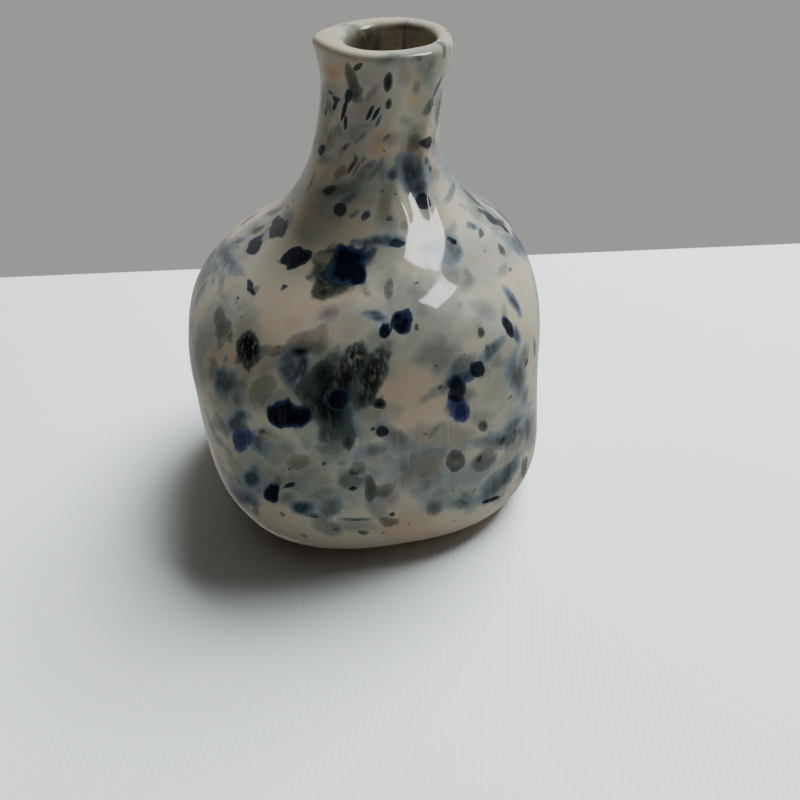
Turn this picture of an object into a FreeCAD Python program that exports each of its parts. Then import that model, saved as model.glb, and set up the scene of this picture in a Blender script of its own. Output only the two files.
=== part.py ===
"""Hand-built ceramic bud vase: a rounded-square belly, a sloping shoulder and a slender, slightly leaning neck.

Millimetres, +Z up. The origin is on the standing surface, at the middle of the vase's box, and the
fluted front of the neck faces -Y. Each wet-clay piece that was joined by hand, and each coat of glaze,
is a solid of its own. Neighbours meet face to face, because they are cut from the same few surfaces.
"""
import FreeCAD, Part
import math
import os

os.makedirs("parts", exist_ok=True)

# Outer form, over the glaze.
VASE_HEIGHT = 100.5
FOOT_RADIUS = 31.0
FOOT_ROUND_HEIGHT = 16.0
BELLY_RADIUS = 39.6
SHOULDER_START = 38.0
WAIST_RADIUS = 12.0
WAIST_HEIGHT = 87.5
FLARE_ARC = 30.0
LIP_RADIUS = 12.6
LIP_ROUND = 1.2
LIP_RISE_PER_MM = 0.055

# Plan of the form: the exponent of the superellipse (2 is round) and how far its sides are turned.
BELLY_SQUARENESS = 2.6
NECK_SQUARENESS = 2.15
PLAN_TURN = 10.0

# Clay walls and glaze coats. The liner lies POOLING times as thick on top of the base coil.
FLOOR_THICKNESS = 5.0
BELLY_WALL = 4.0
NECK_ROOT_WALL = 5.0
NECK_WALL = 2.5
LIP_WALL = 3.2
CLAY_LIP_ROUND = 0.9
OUTER_GLAZE = 0.4
LINER_GLAZE = 0.3
POOLING = 2.0
FOOT_LINE = 3.0

# Where one piece of clay ends and the next begins.
BELLY_SEAM = 46.0
NECK_SEAM = 68.0
LIP_SEAM = 94.0
BASE_COIL_SIZE = 7.0
NECK_COIL_HALF_HEIGHT = 8.0
NECK_COIL_DEPTH = 2.6
COIL_EDGE = 0.8

# The middle of each level wanders as the wall was raised: (height, sideways, front to back).
FOOT_MIDDLE = (0.9, 0.0)
BELLY_MIDDLE = (-0.9, 0.0)
NECK_SEAM_MIDDLE = (4.2, 0.2)
WAIST_MIDDLE = (4.8, 0.8)
LIP_MIDDLE = (7.5, 0.9)
BORE_SHIFT = 0.8

# Marks of the hands: azimuth, height, half width in degrees, half height, and how far it stands out.
HAND_MARKS = [
    (-61.0, 80.0, 8.5, 10.0, -0.85),
    (-44.0, 80.0, 6.0, 11.0, 0.35),
    (-78.0, 78.0, 7.0, 9.0, 0.3),
    (150.0, 57.0, 26.0, 8.0, 1.2),
    (28.0, 60.0, 22.0, 6.0, 1.6),
    (-75.0, 6.0, 28.0, 7.0, 0.7),
    (192.0, 36.0, 24.0, 8.0, -0.8),
    (250.0, 40.0, 20.0, 10.0, -0.5),
    (318.0, 42.0, 16.0, 10.0, -0.4),
    (95.0, 40.0, 24.0, 12.0, -0.6),
    (62.0, 20.0, 20.0, 10.0, 0.5),
]

# The lip is pinched to a corner on the left, and its wall is pressed flat beside that corner.
LIP_MARKS = [
    (170.0, 14.0, 1.7),
    (222.0, 18.0, -0.8),
    (-52.0, 20.0, 0.4),
]
LIP_MARK_DEPTH = 6.0

POINTS_ROUND = 60
LOFT_STEP = 4.0
FOOT_STEP = 0.8
LIP_STEPS = 4
COIL_FAIRING = 2.0
SEWING = 0.001


def smooth(share):
    """Return share eased from 0 to 1 with level ends."""
    share = min(max(share, 0.0), 1.0)
    return share * share * (3.0 - 2.0 * share)


def eased(stops, height):
    """Return the value at a height, eased between the (height, value) stops."""
    for (low, first), (high, second) in zip(stops, stops[1:]):
        if height <= high:
            return first + (second - first) * smooth((height - low) / (high - low))
    return stops[-1][1]


def middle(height):
    """Return the x and y of the middle of the level at a height."""
    levels = [
        (0.0, FOOT_MIDDLE),
        (SHOULDER_START, BELLY_MIDDLE),
        (NECK_SEAM, NECK_SEAM_MIDDLE),
        (0.5 * (NECK_SEAM + WAIST_HEIGHT), WAIST_MIDDLE),
        (VASE_HEIGHT, LIP_MIDDLE),
    ]
    x = eased([(level, place[0]) for level, place in levels], height)
    y = eased([(level, place[1]) for level, place in levels], height)
    return x, y


def shoulder_arc():
    """Return the shoulder's arc radius and the sine of its turn, so that it runs into the flare."""
    across = BELLY_RADIUS - WAIST_RADIUS
    up = WAIST_HEIGHT - SHOULDER_START
    both_arcs = (across * across + up * up) / (2.0 * across)
    return both_arcs - FLARE_ARC, up / both_arcs


def profile(height, depth):
    """Return the radius at a height of the surface that lies depth under the outside."""
    if height < FOOT_ROUND_HEIGHT:
        rise = (FOOT_ROUND_HEIGHT - height) / FOOT_ROUND_HEIGHT
        bulge = math.sqrt(max(1.0 - rise * rise, 0.0))
        return FOOT_RADIUS + (BELLY_RADIUS - FOOT_RADIUS) * bulge - depth
    if height < SHOULDER_START:
        return BELLY_RADIUS - depth
    shoulder, sine = shoulder_arc()
    if height < SHOULDER_START + (shoulder - depth) * sine:
        fall = height - SHOULDER_START
        return BELLY_RADIUS - shoulder + math.sqrt((shoulder - depth) ** 2 - fall * fall)
    if height < WAIST_HEIGHT:
        drop = WAIST_HEIGHT - height
        return WAIST_RADIUS + FLARE_ARC - math.sqrt((FLARE_ARC + depth) ** 2 - drop * drop)
    climb = (height - WAIST_HEIGHT) / (VASE_HEIGHT - WAIST_HEIGHT)
    return WAIST_RADIUS + (LIP_RADIUS - WAIST_RADIUS) * climb * climb - depth


def squareness(height):
    """Return the superellipse's exponent at a height."""
    return eased([(SHOULDER_START, BELLY_SQUARENESS), (WAIST_HEIGHT - 8.0, NECK_SQUARENESS)], height)


def corner_factor(azimuth, height):
    """Return how much further out the plan reaches at an azimuth than at the middle of a side."""
    power = squareness(height)
    turned = azimuth - math.radians(PLAN_TURN)
    total = abs(math.cos(turned)) ** power + abs(math.sin(turned)) ** power
    return total ** (-1.0 / power)


def bell(away, half_width):
    """Return a smooth hump, 1 at its middle."""
    return math.exp(-0.5 * (away / half_width) ** 2)


def turn_away(azimuth, mark_azimuth):
    """Return the angle in degrees between an azimuth in radians and a mark's in degrees."""
    away = math.degrees(azimuth) - mark_azimuth
    return (away + 180.0) % 360.0 - 180.0


def hand_marks(azimuth, height):
    """Return how far the hand marks push every surface outwards here."""
    total = 0.0
    for mark_azimuth, mark_height, wide, tall, amount in HAND_MARKS:
        total += amount * bell(turn_away(azimuth, mark_azimuth), wide) * bell(height - mark_height, tall)
    return total


def lip_marks(azimuth, height):
    """Return how far the pinched lip stands out here, on the outside only."""
    total = 0.0
    for mark_azimuth, wide, amount in LIP_MARKS:
        total += amount * bell(turn_away(azimuth, mark_azimuth), wide)
    return total * bell(max(VASE_HEIGHT - height, 0.0), 0.5 * LIP_MARK_DEPTH)


def ring(height, depth, outward):
    """Return the closed curve of one surface at one height.

    Args: depth is how far the surface lies under the outside, and outward is 1 on the outside, 0 in
    the bore and between them on the lip. The ring tilts towards the lip, which is higher at the back.
    """
    x_middle, y_middle = middle(height)
    up_neck = smooth((height - NECK_SEAM) / (VASE_HEIGHT - NECK_SEAM))
    x_middle += BORE_SHIFT * up_neck * (1.0 - outward)
    points = []
    for step in range(POINTS_ROUND):
        azimuth = 2.0 * math.pi * step / POINTS_ROUND
        radius = profile(height, depth) * corner_factor(azimuth, height) + hand_marks(azimuth, height)
        radius += outward * lip_marks(azimuth, height)
        back = radius * math.sin(azimuth)
        rise = LIP_RISE_PER_MM * up_neck * back
        points.append(FreeCAD.Vector(x_middle + radius * math.cos(azimuth), y_middle + back, height + rise))
    curve = Part.BSplineCurve()
    even = [step / POINTS_ROUND for step in range(POINTS_ROUND + 1)]
    curve.interpolate(Points=points, PeriodicFlag=True, Parameters=even)
    return curve


def levels(low, high):
    """Return the heights that every surface passes through from low to high.

    They hold each seam, and the same heights between, so that the walls and coats between two
    surfaces keep their thickness and neighbouring pieces share their faces exactly.
    """
    coil = NECK_COIL_HALF_HEIGHT
    seams = [FOOT_LINE, FLOOR_THICKNESS, FLOOR_THICKNESS + BASE_COIL_SIZE, FOOT_ROUND_HEIGHT, BELLY_SEAM]
    seams += [NECK_SEAM - coil, NECK_SEAM, NECK_SEAM + coil, LIP_SEAM]
    stops = [low] + [seam for seam in sorted(seams) if low < seam < high] + [high]
    heights = [low]
    for first, last in zip(stops, stops[1:]):
        step_height = FOOT_STEP if last <= FOOT_ROUND_HEIGHT else LOFT_STEP
        count = max(int(round((last - first) / step_height)), 1)
        heights += [first + (last - first) * step / count for step in range(1, count)] + [last]
    return heights


class Skin:
    """A smooth surface through rings of (height, depth, outward), which neighbouring pieces share."""

    def __init__(self, rings):
        curves = [ring(height, depth, outward) for height, depth, outward in rings]
        along = [0.0]
        for first, second in zip(curves, curves[1:]):
            steps = [start.distanceToPoint(end) for start, end in zip(first.getPoles(), second.getPoles())]
            along.append(along[-1] + sum(steps) / len(steps))
        shares = [place / along[-1] for place in along]
        self.places = {height: share for (height, depth, outward), share in zip(rings, shares)}
        columns = []
        for poles in zip(*[curve.getPoles() for curve in curves]):
            column = Part.BSplineCurve()
            column.interpolate(Points=list(poles), Parameters=shares)
            columns.append(column)
        around, up = curves[0], columns[0]
        self.surface = Part.BSplineSurface()
        self.surface.buildFromPolesMultsKnots(
            [column.getPoles() for column in columns],
            around.getMultiplicities(), up.getMultiplicities(),
            around.getKnots(), up.getKnots(),
            True, False, around.Degree, up.Degree,
        )

    def edge(self, height):
        """Return the wire of the surface's ring at a height."""
        return Part.Wire([self.surface.vIso(self.places[height]).toShape()])

    def band(self, low, high):
        """Return the face between the rings at two heights."""
        first, last, _, _ = self.surface.bounds()
        return self.surface.toShape(first, last, self.places[low], self.places[high])

    def top(self):
        """Return the height of the highest ring."""
        return max(self.places)


def flat_ring(outer, inner):
    """Return the flat face between two wires that lie in one plane."""
    return Part.makeFace([outer, inner], "Part::FaceMakerBullseye")


def closed(faces):
    """Return the solid that faces enclose, turned the right way out."""
    shell = Part.Shell(faces)
    shell.sewShape(SEWING)
    solid = Part.Solid(shell)
    if solid.Volume < 0.0:
        solid.reverse()
    return solid


def lip_rings(crest, depth, lip_round, outward):
    """Return the rings that round a lip's edge over to its crest.

    Args: depth is the wall's depth below the round, and outward is 1 on the outside and 0 in the bore.
    """
    rings = []
    side = 1.0 if outward > 0.5 else -1.0
    for step in range(1, LIP_STEPS + 1):
        angle = 0.5 * math.pi * step / LIP_STEPS
        drop = lip_round * (1.0 - math.sin(angle))
        tuck = lip_round * (1.0 - math.cos(angle))
        rings.append((crest - drop, depth + side * tuck, outward))
    return rings


def outer_skin(low, coat, lip_round):
    """Return the outside under a coat of glaze, from a height to its crest."""
    crest = VASE_HEIGHT - coat
    rings = [(height, coat, 1.0) for height in levels(low, crest - lip_round)]
    return Skin(rings + lip_rings(crest, coat, lip_round, 1.0))


def wall_depth(height):
    """Return how far the clay's inner face lies under the glaze's outside at a height."""
    stops = [
        (SHOULDER_START, BELLY_WALL),
        (NECK_SEAM, NECK_ROOT_WALL),
        (WAIST_HEIGHT - 4.0, NECK_WALL),
        (VASE_HEIGHT, LIP_WALL),
    ]
    return OUTER_GLAZE + eased(stops, height)


def base_coil(height):
    """Return how far the base coil's hollow face stands in from the wall at a height."""
    share = 1.0 - (height - FLOOR_THICKNESS) / BASE_COIL_SIZE
    if share < 0.0:
        return COIL_EDGE * bell(share * BASE_COIL_SIZE, COIL_FAIRING)
    return COIL_EDGE + (BASE_COIL_SIZE - COIL_EDGE) * share * share


def bore_skin(low, crest, coat, lip_round, coil):
    """Return the inside, with a coat of glaze on it, from a height to its crest.

    Args: coil tells whether the surface runs over the base coil.
    """
    rings = []
    for height in levels(low, crest - lip_round):
        inward = base_coil(height - POOLING * coat) if coil else 0.0
        rings.append((height, wall_depth(height) + coat + inward, 0.0))
    return Skin(rings + lip_rings(crest, wall_depth(VASE_HEIGHT) + coat, lip_round, 0.0))


def coil_skin():
    """Return the hollow face of the base coil."""
    heights = levels(FLOOR_THICKNESS, FLOOR_THICKNESS + BASE_COIL_SIZE)
    return Skin([(height, wall_depth(height) + base_coil(height), 0.0) for height in heights])


def core_skin():
    """Return the face that the neck's outer coil is wrapped around."""
    rings = []
    for height in levels(NECK_SEAM - NECK_COIL_HALF_HEIGHT, NECK_SEAM + NECK_COIL_HALF_HEIGHT):
        share = (height - NECK_SEAM) / NECK_COIL_HALF_HEIGHT
        thickness = COIL_EDGE + (NECK_COIL_DEPTH - COIL_EDGE) * (1.0 - share * share)
        rings.append((height, OUTER_GLAZE + thickness, 1.0))
    return Skin(rings)


def crest_join():
    """Return the upright strip over the crest, where the outer coat of glaze meets the liner."""
    middle_depth = 0.5 * (OUTER_GLAZE + wall_depth(VASE_HEIGHT))
    low = Part.Wire([ring(VASE_HEIGHT - OUTER_GLAZE, middle_depth, 0.5).toShape()])
    high = Part.Wire([ring(VASE_HEIGHT, middle_depth, 0.5).toShape()])
    return low, high, Part.makeRuledSurface(low, high).Faces[0]


def clay_pieces(outside, bore, coil, core):
    """Return the seven clay pieces' solids by name, from the surfaces that they share."""
    base_top = FLOOR_THICKNESS + BASE_COIL_SIZE
    low = NECK_SEAM - NECK_COIL_HALF_HEIGHT
    high = NECK_SEAM + NECK_COIL_HALF_HEIGHT
    floor_ring = flat_ring(outside.edge(FLOOR_THICKNESS), bore.edge(FLOOR_THICKNESS))
    belly_ring = flat_ring(outside.edge(BELLY_SEAM), bore.edge(BELLY_SEAM))
    low_ring = flat_ring(outside.edge(low), core.edge(low))
    neck_ring = flat_ring(core.edge(NECK_SEAM), bore.edge(NECK_SEAM))
    high_ring = flat_ring(outside.edge(high), core.edge(high))
    lip_ring = flat_ring(outside.edge(LIP_SEAM), bore.edge(LIP_SEAM))
    crest_ring = flat_ring(outside.edge(outside.top()), bore.edge(bore.top()))
    return {
        "foot_slab": closed([
            Part.Face(outside.edge(0.0)),
            outside.band(0.0, FLOOR_THICKNESS),
            Part.Face(outside.edge(FLOOR_THICKNESS)),
        ]),
        "base_seam_coil": closed([
            bore.band(FLOOR_THICKNESS, base_top),
            flat_ring(bore.edge(base_top), coil.edge(base_top)),
            coil.band(FLOOR_THICKNESS, base_top),
            flat_ring(bore.edge(FLOOR_THICKNESS), coil.edge(FLOOR_THICKNESS)),
        ]),
        "belly_wall": closed([
            floor_ring,
            outside.band(FLOOR_THICKNESS, BELLY_SEAM),
            belly_ring,
            bore.band(FLOOR_THICKNESS, BELLY_SEAM),
        ]),
        "shoulder_dome": closed([
            belly_ring,
            outside.band(BELLY_SEAM, low),
            low_ring,
            core.band(low, NECK_SEAM),
            neck_ring,
            bore.band(BELLY_SEAM, NECK_SEAM),
        ]),
        "neck_fillet_coil": closed([
            low_ring,
            outside.band(low, high),
            high_ring,
            core.band(low, high),
        ]),
        "neck_tube": closed([
            neck_ring,
            core.band(NECK_SEAM, high),
            high_ring,
            outside.band(high, LIP_SEAM),
            lip_ring,
            bore.band(NECK_SEAM, LIP_SEAM),
        ]),
        "lip_coil": closed([
            lip_ring,
            outside.band(LIP_SEAM, outside.top()),
            crest_ring,
            bore.band(LIP_SEAM, bore.top()),
        ]),
    }


def glaze_pieces(outside, bore, coil):
    """Return the two coats of glaze by name, from the clay's surfaces and their own."""
    base_top = FLOOR_THICKNESS + BASE_COIL_SIZE
    liner_floor = FLOOR_THICKNESS + LINER_GLAZE
    gloss = outer_skin(FOOT_LINE, 0.0, LIP_ROUND)
    liner = bore_skin(liner_floor, VASE_HEIGHT, LINER_GLAZE, LIP_ROUND, True)
    low_join, high_join, join_strip = crest_join()
    return {
        "outer_glaze": closed([
            flat_ring(gloss.edge(FOOT_LINE), outside.edge(FOOT_LINE)),
            gloss.band(FOOT_LINE, gloss.top()),
            flat_ring(gloss.edge(gloss.top()), high_join),
            join_strip,
            flat_ring(outside.edge(outside.top()), low_join),
            outside.band(FOOT_LINE, outside.top()),
        ]),
        "liner_glaze": closed([
            Part.Face(liner.edge(liner_floor)),
            liner.band(liner_floor, liner.top()),
            flat_ring(high_join, liner.edge(liner.top())),
            join_strip,
            flat_ring(low_join, bore.edge(bore.top())),
            bore.band(base_top, bore.top()),
            flat_ring(bore.edge(base_top), coil.edge(base_top)),
            coil.band(FLOOR_THICKNESS, base_top),
            Part.Face(coil.edge(FLOOR_THICKNESS)),
        ]),
    }


def build_pieces():
    """Return every piece's solid by its name."""
    outside = outer_skin(0.0, OUTER_GLAZE, CLAY_LIP_ROUND)
    bore = bore_skin(FLOOR_THICKNESS, VASE_HEIGHT - OUTER_GLAZE, 0.0, CLAY_LIP_ROUND, False)
    coil = coil_skin()
    return clay_pieces(outside, bore, coil, core_skin()) | glaze_pieces(outside, bore, coil)


for name, solid in build_pieces().items():
    print(name, "valid", solid.isValid(), "closed", solid.isClosed(), "volume", round(solid.Volume, 1))
    solid.exportStep("parts/" + name + ".step")
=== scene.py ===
"""Hand-built ceramic bud vase: a glossy, splashed coat over the packed clay, on a pale card.

Metres, +Z up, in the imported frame. The two coats of glaze are drawn as smooth skins that are shrunk on
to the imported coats, because a glossy surface shows every facet. The clay pieces stay as they are packed.
"""
from __future__ import annotations

import logging
import math
from dataclasses import dataclass, field
from enum import Enum
from typing import Iterable

import bpy
import numpy as np
from mathutils import Matrix, Vector

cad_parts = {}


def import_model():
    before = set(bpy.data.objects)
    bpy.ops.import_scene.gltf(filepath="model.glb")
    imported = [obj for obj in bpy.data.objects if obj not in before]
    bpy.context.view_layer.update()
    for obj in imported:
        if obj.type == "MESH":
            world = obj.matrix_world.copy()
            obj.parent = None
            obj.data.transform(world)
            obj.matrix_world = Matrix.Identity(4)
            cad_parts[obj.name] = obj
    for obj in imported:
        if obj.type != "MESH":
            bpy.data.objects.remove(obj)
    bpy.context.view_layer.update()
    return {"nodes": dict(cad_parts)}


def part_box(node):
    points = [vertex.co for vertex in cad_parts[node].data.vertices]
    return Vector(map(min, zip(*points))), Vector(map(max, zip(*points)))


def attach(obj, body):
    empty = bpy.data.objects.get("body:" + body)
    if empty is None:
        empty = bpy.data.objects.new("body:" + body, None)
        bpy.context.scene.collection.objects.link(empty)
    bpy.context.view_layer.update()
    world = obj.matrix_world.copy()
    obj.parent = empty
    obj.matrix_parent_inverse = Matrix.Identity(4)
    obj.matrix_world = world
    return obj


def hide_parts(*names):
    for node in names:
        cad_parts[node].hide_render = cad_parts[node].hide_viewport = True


LOG = logging.getLogger("bud_vase")
MM = 0.001
ROUND = 320
SEED = 7


class Stain(Enum):
    """The families of colour that were splashed on before the clear glaze, named by their attribute."""

    NAVY = "navy"
    COBALT = "cobalt"
    GREEN_BLACK = "green_black"
    SLATE = "slate"
    GREY_GREEN = "grey_green"
    MAUVE = "mauve"
    TAN = "tan"
    DRY_BRUSH = "dry_brush"
    GREY_WASH = "grey_wash"
    SLATE_WASH = "slate_wash"
    # The dark wash is also used to paint shade down the bore.
    DARK_WASH = "dark_wash"
    BLUSH = "blush"


@dataclass(frozen=True)
class Splash:
    """One mark of stain, listed or laid by chance.

    Attributes:
        name: What the mark is.
        stain: Its family of colour.
        azimuth: Degrees round from +X, about the middle of its level.
        height: Millimetres above the standing surface.
        long: Half its length, in millimetres along the surface.
        short: Half its width, in millimetres.
        lean: Degrees that its length rises anticlockwise from level.
        strength: How dense it is, up to 1.
    """

    name: str
    stain: Stain
    azimuth: float
    height: float
    long: float
    short: float
    lean: float = 0.0
    strength: float = 1.0


def splashes(*rows: tuple) -> list[Splash]:
    """Turn rows of a Splash's values, in the order of its fields, to marks."""
    return [Splash(*row) for row in rows]


N, C, D, S = Stain.NAVY, Stain.COBALT, Stain.GREEN_BLACK, Stain.SLATE
G, M, T, B = Stain.GREY_GREEN, Stain.MAUVE, Stain.TAN, Stain.DRY_BRUSH
GW, SW, DW, TW = Stain.GREY_WASH, Stain.SLATE_WASH, Stain.DARK_WASH, Stain.BLUSH

BELLY_FRONT = splashes(
    ("heart, left lobe", N, -110, 41.4, 3.3, 2.9, 70),
    ("heart, right lobe", N, -106, 42.2, 2.6, 2.2, 40),
    ("grey disc under the heart", G, -99, 34.5, 3.4, 2.8, 90, 0.8),
    ("grey smear under the heart", G, -114, 33, 3.6, 3.2, 10, 0.55),
    ("slate disc over the heart", S, -110, 50, 2.5, 1.9, -75, 0.85),
    ("teal edge of the slate disc", S, -106.5, 51, 2.4, 1.2, -77, 1.0),
    ("green cap over the discs", D, -107, 55.2, 3.1, 1.6, -5, 0.5),
    ("dot in the green cap", D, -108, 53.6, 1.3, 1.0, 0),
    ("rosy ring", T, -114, 58.5, 1.5, 1.2, -40, 0.5),
    ("brown ring", M, -102, 59, 2.2, 1.8, -25, 0.6),
    ("cluster, brushed", B, -97, 46, 7.4, 4.0, -86, 0.85),
    ("cluster, left edge", D, -103, 48, 3.2, 1.8, 80, 0.75),
    ("cluster, lower blot", D, -97, 43.5, 2.6, 2.0, -70, 0.9),
    ("cluster, upper left", D, -100, 49.5, 2.7, 1.4, -82, 1.0),
    ("cluster, lower left", D, -101, 46.5, 1.5, 0.9, -87, 1.0),
    ("cluster, upper right", D, -94, 48.7, 2.9, 1.1, -86, 0.8),
    ("cluster, middle", N, -95, 45, 2.1, 1.7, -43, 0.95),
    ("cluster, low", D, -98, 42, 1.8, 1.5, -57, 0.85),
    ("cluster, slate foot", S, -93, 41, 3.2, 2.2, -87, 0.95),
    ("brush load, top", B, -91, 52, 3.0, 1.7, 87, 0.95),
    ("brush load, long", B, -86.5, 48.4, 5.2, 2.1, 70, 0.95),
    ("brush load, end", D, -84, 43.6, 1.3, 1.0, -27, 1.0),
    ("tick under the cluster", D, -94, 36.3, 2.0, 0.9, 87, 0.9),
    ("trail, head", N, -84, 37.8, 1.3, 1.0, -80, 0.9),
    ("trail", S, -80, 34.8, 4.8, 1.8, -53, 0.7),
    ("belly pair, right", N, -77, 56.6, 2.1, 1.8, -67),
    ("belly pair, left", N, -83, 55.8, 1.4, 1.0, -76),
    ("belly pair, tail", S, -86, 58.5, 2.6, 0.8, -28, 0.9),
    ("dot by the pair", D, -72, 56, 0.5, 0.5, 0, 0.9),
    ("belly wash, middle", G, -71, 60, 5.2, 4.2, -23, 0.62),
    ("belly wash, low", G, -65, 51, 4.8, 3.6, -31, 0.6),
    ("dash in the wash", D, -81, 61, 1.5, 0.7, 89, 0.6),
    ("column by the patch", G, -82, 62.5, 2.9, 1.9, -86, 0.5),
)

WASHES = splashes(
    ("wash, right shoulder", GW, -40, 62, 6.5, 4.0, 20, 0.55),
    ("wash, far right shoulder", SW, -18, 60, 6.0, 3.5, -20, 0.45),
    ("wash, right of the lower belly", DW, -66, 33, 6.0, 3.4, -30, 0.45),
    ("wash, low centre", DW, -112, 24, 6.5, 3.6, 15, 0.45),
    ("wash, left of the neck", DW, -150, 90, 7.0, 2.4, 80, 0.45),
    ("wash, low left", GW, -121, 27, 8.5, 5.5, 60, 0.72),
    ("wash, round the cluster", GW, -100, 44, 10.0, 7.0, 88, 0.72),
    ("wash, between pair and cluster", GW, -84, 53, 5.0, 4.0, 80, 0.65),
    ("wash, middle", GW, -70, 57, 8.5, 6.0, -30, 0.72),
    ("wash, low middle", GW, -101, 23, 8.5, 5.0, 5, 0.72),
    ("wash, low right", SW, -60, 20, 8.0, 3.6, 10, 0.65),
    ("wash, right belly", GW, -46, 43, 7.0, 5.0, 85, 0.51),
    ("wash, right edge", SW, -38, 29, 7.0, 4.5, -20, 0.65),
    ("wash, left edge", GW, -146, 49, 10.0, 5.0, 80, 0.72),
    ("wash, left of the heart", GW, -127, 41, 6.0, 4.5, 75, 0.65),
    ("wash, top of the neck", GW, -95, 97, 5.0, 2.4, 0, 0.51),
    ("wash, right of the neck", GW, -48, 96, 6.0, 3.6, 80, 0.58),
    ("wash, side of the neck", GW, -112, 87, 6.0, 3.6, 60, 0.58),
    ("wash, under the heart", DW, -106, 29, 6.0, 3.0, 20, 0.35),
    ("wash, beside the cluster", DW, -90, 42, 6.5, 3.0, -80, 0.40),
    ("wash, over the cluster", DW, -103, 53, 6.0, 2.6, 10, 0.40),
    ("wash, foot of the trail", SW, -86, 30, 6.0, 3.2, -30, 0.50),
    ("wash, beside the patch", GW, -88, 66, 5.0, 3.0, 0, 0.55),
    ("wash, under the patch", GW, -93, 58, 6.0, 2.6, -10, 0.50),
    ("wash, left shoulder", SW, -168, 58, 7.0, 3.0, 20, 0.50),
    ("wash, neck root", GW, -118, 76, 7.0, 3.0, 5, 0.50),
    ("wash, front of the neck", GW, -98, 90, 4.0, 3.4, 0, 0.35),
    ("wash, left of the foot", SW, -128, 18, 7.0, 3.0, 25, 0.60),
    ("blush, centre right", TW, -73, 44, 6.5, 4.5, 70, 0.58),
    ("blush, shoulder", TW, -118, 60, 5.5, 5.0, 40, 0.36),
    ("blush, neck", TW, -132, 80, 5.0, 4.0, 60, 0.51),
)

BELLY_LOW = splashes(
    ("low disc", G, -93, 26, 3.2, 2.8, -80, 1.0),
    ("cluster's foot, dark", D, -95, 38.5, 3.0, 1.6, -80, 0.8),
    ("dark veil beside the heart", D, -117, 46, 3.0, 1.6, 70, 0.45),
    ("dot in the low disc", N, -93, 23.6, 0.7, 0.6, 0, 0.9),
    ("low blot", N, -117, 21.5, 2.9, 1.5, 67),
    ("low ring", G, -112, 20.5, 2.6, 1.7, 43, 0.75),
    ("arc over the ring", N, -111, 24.6, 1.5, 0.5, 30, 0.9),
    ("dark smear, low left", S, -123, 23.7, 3.3, 1.5, 69, 0.95),
    ("slate sweep, low left", S, -130, 15, 5.6, 2.4, 30, 0.75),
    ("teal curl", S, -108, 18.3, 2.3, 1.7, 0, 1.0),
    ("teal curl, tail", S, -105, 16.3, 1.6, 0.7, -18, 0.95),
    ("soft grey, low", G, -102, 22.5, 3.6, 3.0, 29, 0.5),
    ("soft grey, mid left", D, -108, 30.8, 2.0, 1.5, 57, 0.5),
    ("foot oval", G, -94, 12.6, 4.4, 2.0, -8, 0.6),
    ("foot oval, dark edge", S, -93, 14.8, 2.9, 0.4, -9, 0.85),
    ("foot smudge", D, -83, 13.2, 2.0, 1.4, -25, 0.6),
    ("smudge over it", M, -82, 19.8, 2.4, 1.7, -85, 0.55),
    ("small dash", N, -82, 15.3, 0.7, 0.5, -31, 0.8),
    ("blue wash", S, -73, 27, 5.4, 4.4, -55, 0.62),
    ("blue wash, dark end", N, -62, 26, 3.0, 1.6, -74, 0.72),
    ("sweep to the right", S, -43, 25.7, 9.4, 1.8, -17, 0.75),
    ("right edge, low", S, -30, 21.3, 5.4, 3.6, -42, 0.6),
    ("lower right stroke", S, -46, 15.8, 6.4, 2.5, 23, 0.85),
    ("lower right line", N, -50, 11.8, 2.5, 0.6, -15, 0.9),
    ("low green disc", G, -59, 14.2, 4.0, 2.4, -64, 0.85),
    ("low grey", G, -69, 15.8, 2.4, 1.8, -40, 0.55),
)

BELLY_LEFT = splashes(
    ("cobalt dab, top", S, -123, 40, 1.7, 1.1, 63, 0.9),
    ("cobalt dab, middle", S, -125, 37.5, 3.2, 1.8, 56, 0.9),
    ("cobalt dab, low", C, -124, 33.6, 3.1, 1.7, 53, 0.95),
    ("teal dab, left", S, -130, 46, 3.1, 2.7, 61, 0.85),
    ("grey dab, left", G, -124, 46, 2.3, 1.7, 27, 0.5),
    ("green streak, left", D, -139, 53.8, 4.1, 1.8, -21, 0.65),
    ("brush print, left", B, -125, 52.5, 3.0, 2.0, -49, 1.0),
    ("wash round the print", G, -128, 55.3, 5.0, 3.2, -38, 0.6),
    ("pinprick", N, -115, 54.7, 0.3, 0.3, 0, 1.0),
    ("long streak, shoulder edge", S, -174, 59.3, 11.0, 1.5, 12, 0.75),
    ("long grey streak", G, -158, 57.2, 7.6, 1.0, -8, 0.6),
)

BELLY_RIGHT = splashes(
    ("stroke, tip", S, -35, 54.1, 2.9, 1.0, -79, 0.95),
    ("stroke, belly", N, -41, 51.2, 2.6, 1.2, -68, 0.95),
    ("stroke, side", S, -38, 48.9, 1.7, 1.1, -85, 0.9),
    ("stroke, link", S, -49, 49, 3.2, 1.1, 16, 0.85),
    ("stroke, knot", N, -55, 46.5, 1.7, 1.2, -34, 0.95),
    ("stroke, blue", C, -58, 45.6, 1.6, 1.0, 7, 0.8),
    ("stroke, end", N, -61, 44, 2.3, 1.5, -70, 0.95),
    ("stroke, foot", N, -62, 42, 1.8, 1.0, -27, 0.9),
    ("cobalt blot", C, -61, 38.8, 2.9, 2.0, -50, 1.0),
    ("dot by the stroke", D, -51, 53, 0.9, 0.7, 88, 0.9),
    ("ring round the dot", G, -51, 53.8, 1.8, 1.5, -77, 0.5),
    ("slate leaf, right", S, -39, 39.7, 5.0, 2.4, -69, 0.85),
    ("edge line, right", S, -28, 43.2, 2.3, 0.9, -83, 0.85),
    ("green fleck", D, -53, 33.2, 1.4, 0.9, -66, 0.85),
    ("grey round the fleck", G, -54, 34.8, 2.7, 1.7, -46, 0.5),
)

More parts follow.
